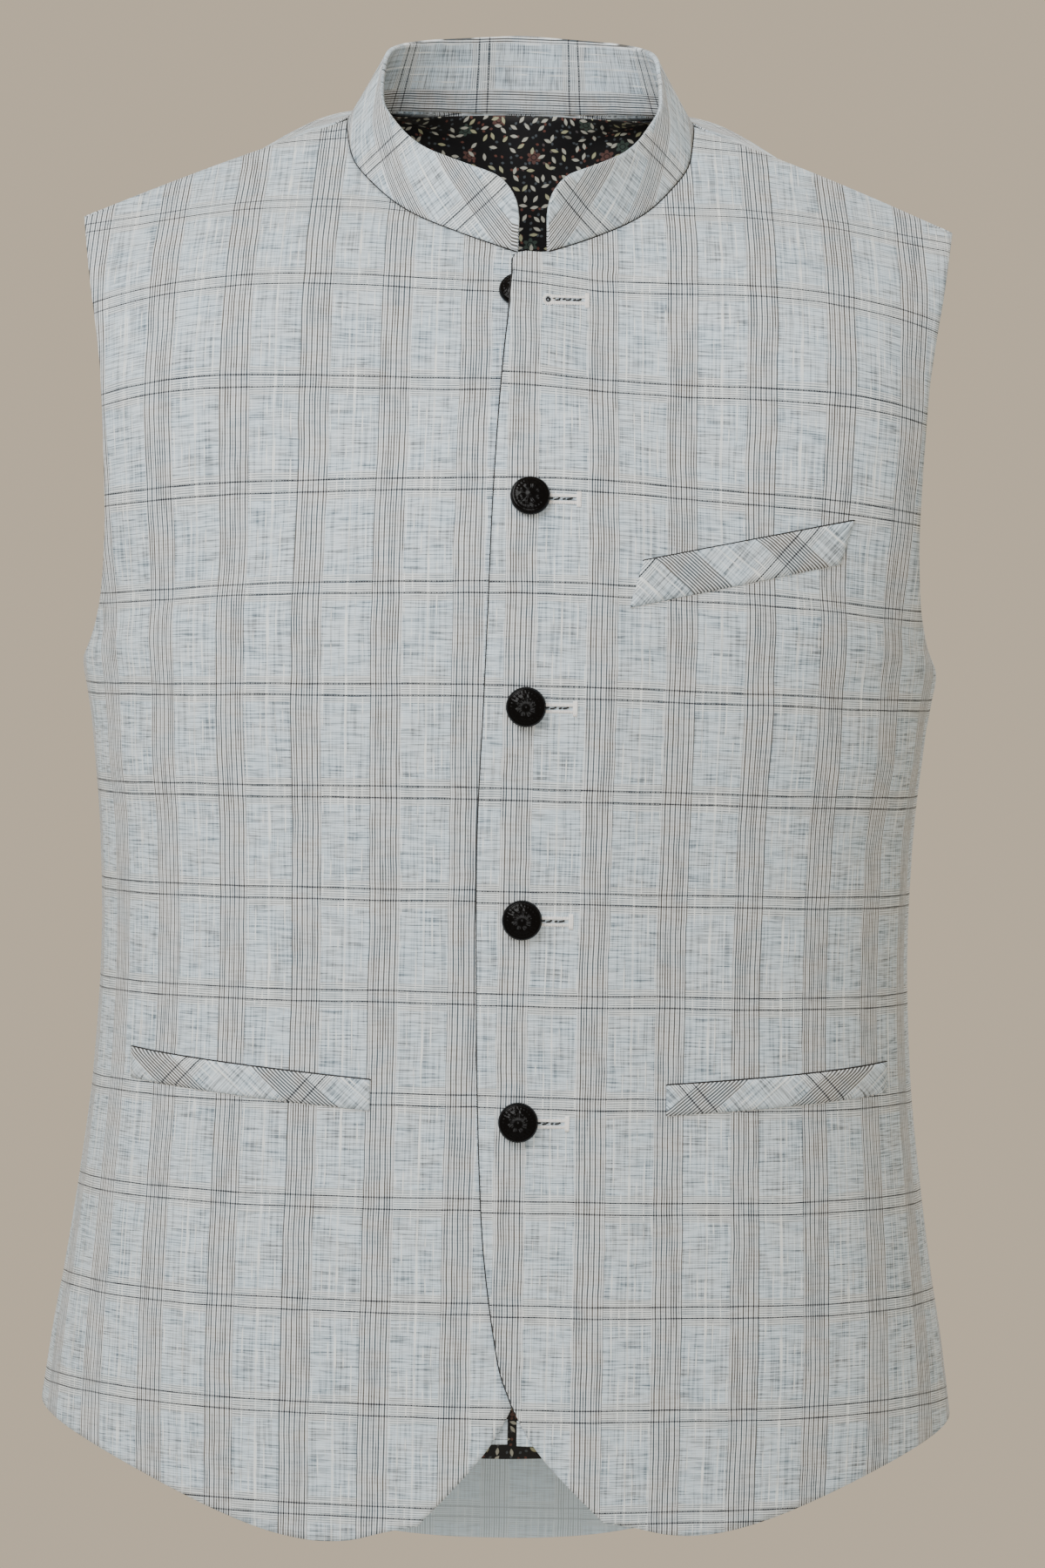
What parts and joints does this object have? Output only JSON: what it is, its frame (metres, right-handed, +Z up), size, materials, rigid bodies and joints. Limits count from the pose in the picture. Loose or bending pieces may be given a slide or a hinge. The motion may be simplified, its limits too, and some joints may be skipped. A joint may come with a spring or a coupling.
{
  "type": "waistcoat",
  "caption": "Sleeveless button-front waistcoat with a standing band collar, welt pockets and a dark printed lining, filled out as worn.",
  "frame": {"origin": "the nape: where the collar's seam crosses the centre back, the place that a wearer's neck or a hanger holds", "axes": "+Z up along the garment, -Y the way the fronts face, +X the wearer's left"},
  "size_m": [0.46, 0.2713, 0.7875],
  "materials": {
    "front_left": "woven wool and linen look, matt",
    "front_right": "woven wool and linen look, matt",
    "back": "woven wool and linen look, matt",
    "back_facing": "woven wool and linen look, matt",
    "collar": "woven wool and linen look, matt",
    "breast_welt": "woven wool and linen look, matt",
    "lower_welt_left": "woven wool and linen look, matt",
    "lower_welt_right": "woven wool and linen look, matt",
    "back_lining": "smooth printed lining, slight sheen",
    "button_1": "black with a fine raised ornament",
    "button_2": "black with a fine raised ornament",
    "button_3": "black with a fine raised ornament",
    "button_4": "black with a fine raised ornament",
    "button_5": "black with a fine raised ornament"
  },
  "bodies": {
    "root": {"front_left": "front_left", "front_right": "front_right", "back": "back", "back_facing": "back_facing", "collar": "collar", "breast_welt": "breast_welt", "lower_welt_left": "lower_welt_left", "lower_welt_right": "lower_welt_right", "back_lining": "back_lining", "button_1": "button_1", "button_2": "button_2", "button_3": "button_3", "button_4": "button_4", "button_5": "button_5"}
  },
  "joints": []
}
